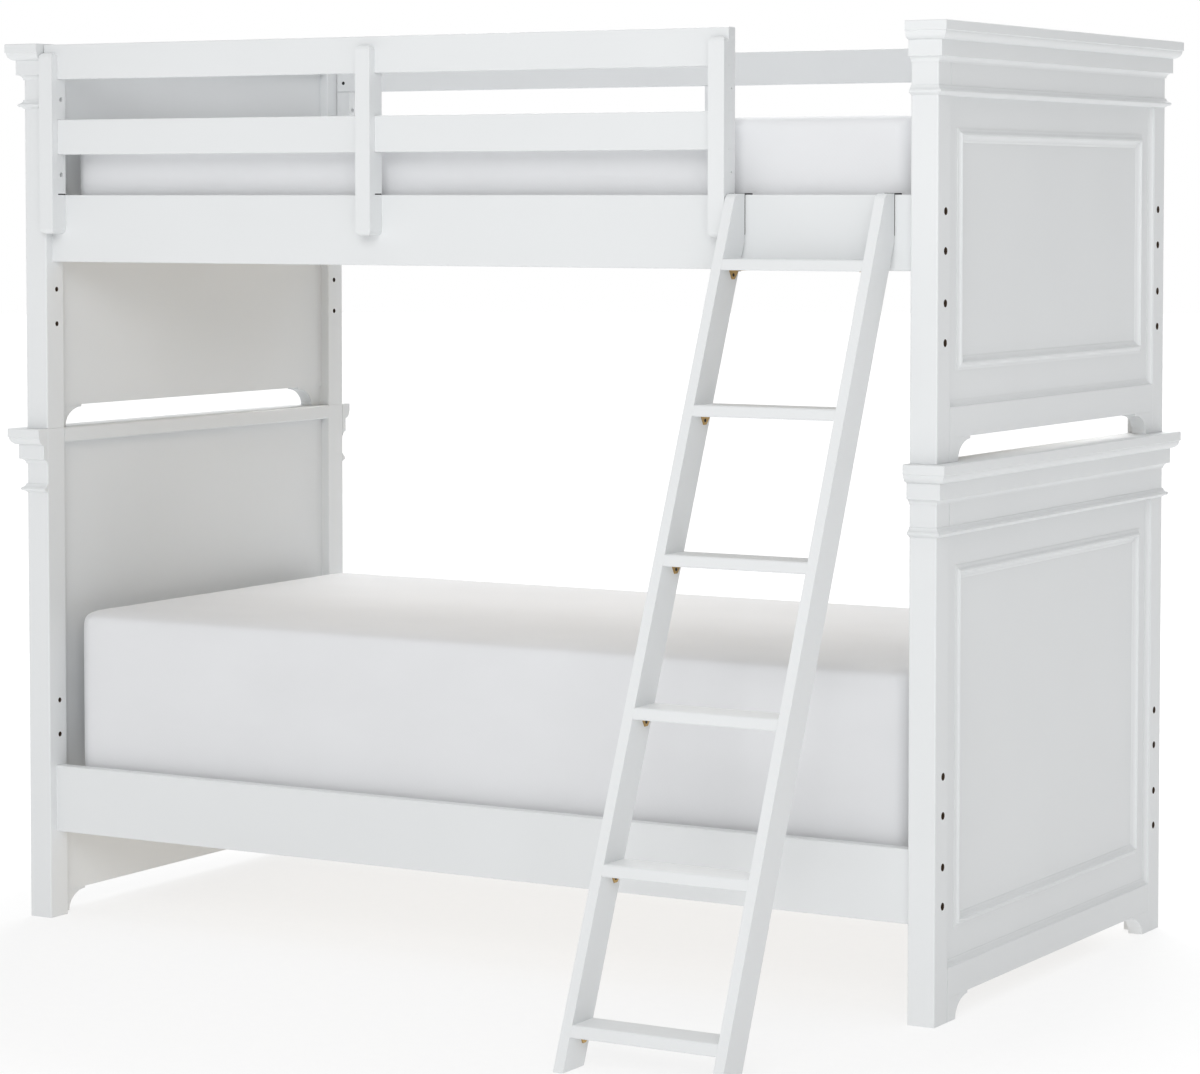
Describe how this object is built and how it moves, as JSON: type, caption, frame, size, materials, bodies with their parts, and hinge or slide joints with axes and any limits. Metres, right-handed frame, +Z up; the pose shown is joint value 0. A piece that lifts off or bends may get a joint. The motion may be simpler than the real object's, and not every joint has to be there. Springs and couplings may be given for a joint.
{
  "type": "bunk bed with ladder",
  "caption": "Twin-over-twin bunk bed with panelled ends, crown cornices, guard rails, slat decks, mattresses and a sloping lift-off ladder.",
  "frame": {"origin": "on the floor, in the middle of the room that the bed and its ladder take up", "axes": "+X along the bed towards the ladder's end, -Y towards the ladder side, which is the front, +Z up"},
  "size_m": [2.092, 1.7066, 1.7773],
  "materials": {
    "white_paint": "satin white paint over birch and fibreboard",
    "pale_timber": "planed, unfinished pine",
    "zinc_steel": "zinc-plated steel",
    "black_steel": "black powder-coated steel",
    "brass": "brass-plated steel, lightly brushed",
    "mattress_cloth": "white knitted mattress ticking with piped edges"
  },
  "bodies": {
    "lower_bed": {"lower_left_front_post": "white_paint", "lower_left_back_post": "white_paint", "lower_left_stiles": "white_paint", "lower_left_top_rail": "white_paint", "lower_left_bottom_rail": "white_paint", "lower_left_panels": "white_paint", "lower_left_mouldings": "white_paint", "lower_left_cornice": "white_paint", "lower_right_front_post": "white_paint", "lower_right_back_post": "white_paint", "lower_right_stiles": "white_paint", "lower_right_top_rail": "white_paint", "lower_right_bottom_rail": "white_paint", "lower_right_panels": "white_paint", "lower_right_mouldings": "white_paint", "lower_right_cornice": "white_paint", "lower_front_rail": "white_paint", "lower_back_rail": "white_paint", "lower_cleats": "pale_timber", "lower_slats": "pale_timber", "lower_rail_fittings": "black_steel", "stacking_pins": "zinc_steel"},
    "upper_bed": {"upper_left_front_post": "white_paint", "upper_left_back_post": "white_paint", "upper_left_stiles": "white_paint", "upper_left_top_rail": "white_paint", "upper_left_bottom_rail": "white_paint", "upper_left_panels": "white_paint", "upper_left_mouldings": "white_paint", "upper_left_cornice": "white_paint", "upper_right_front_post": "white_paint", "upper_right_back_post": "white_paint", "upper_right_stiles": "white_paint", "upper_right_top_rail": "white_paint", "upper_right_bottom_rail": "white_paint", "upper_right_panels": "white_paint", "upper_right_mouldings": "white_paint", "upper_right_cornice": "white_paint", "upper_front_rail": "white_paint", "upper_back_rail": "white_paint", "upper_cleats": "pale_timber", "upper_slats": "pale_timber", "upper_rail_fittings": "black_steel", "front_guard_supports": "white_paint", "front_guard_boards": "white_paint", "back_guard_supports": "white_paint", "back_guard_boards": "white_paint", "guard_fixings": "black_steel"},
    "ladder": {"ladder_stiles": "white_paint", "ladder_tread_1": "white_paint", "ladder_tread_2": "white_paint", "ladder_tread_3": "white_paint", "ladder_tread_4": "white_paint", "ladder_tread_5": "white_paint", "ladder_tread_6": "white_paint", "ladder_hooks": "black_steel", "ladder_screws": "black_steel", "tread_brackets": "brass"},
    "lower_mattress": {"lower_mattress": "mattress_cloth"},
    "upper_mattress": {"upper_mattress": "mattress_cloth"}
  },
  "joints": [
    {"name": "upper_bed_lift", "type": "slide", "parent": "lower_bed", "child": "upper_bed", "axis": [0, 0, 1], "range_m": [0, 0.1]},
    {"name": "ladder_lift", "type": "slide", "parent": "upper_bed", "child": "ladder", "axis": [0, 0, 1], "range_m": [0, 0.1]},
    {"name": "lower_mattress_lift", "type": "slide", "parent": "lower_bed", "child": "lower_mattress", "axis": [0, 0, 1], "range_m": [0, 0.3]},
    {"name": "upper_mattress_lift", "type": "slide", "parent": "upper_bed", "child": "upper_mattress", "axis": [0, 0, 1], "range_m": [0, 0.4]}
  ]
}
